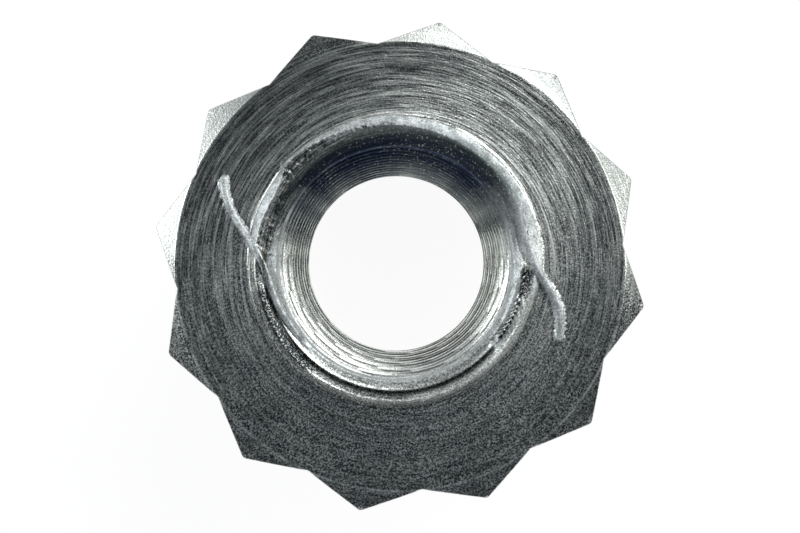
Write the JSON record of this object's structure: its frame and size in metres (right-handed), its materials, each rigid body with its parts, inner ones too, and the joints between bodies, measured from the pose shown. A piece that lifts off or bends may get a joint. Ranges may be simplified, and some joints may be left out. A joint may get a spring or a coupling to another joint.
{
  "type": "wheel nut",
  "caption": "Double-hexagon steel wheel nut, 30 mm across flats, with a raised lip and two curled burrs round its threaded bore.",
  "frame": {"origin": "centre of the plain face, on the nut's axis", "axes": "+Z along the nut's axis, from the plain face to the turned face; one of the twelve points is on +X"},
  "size_m": [0.0346, 0.0346, 0.0202],
  "materials": {
    "plated_steel": "satin"
  },
  "bodies": {
    "root": {"wheel_nut": "plated_steel"}
  },
  "joints": []
}
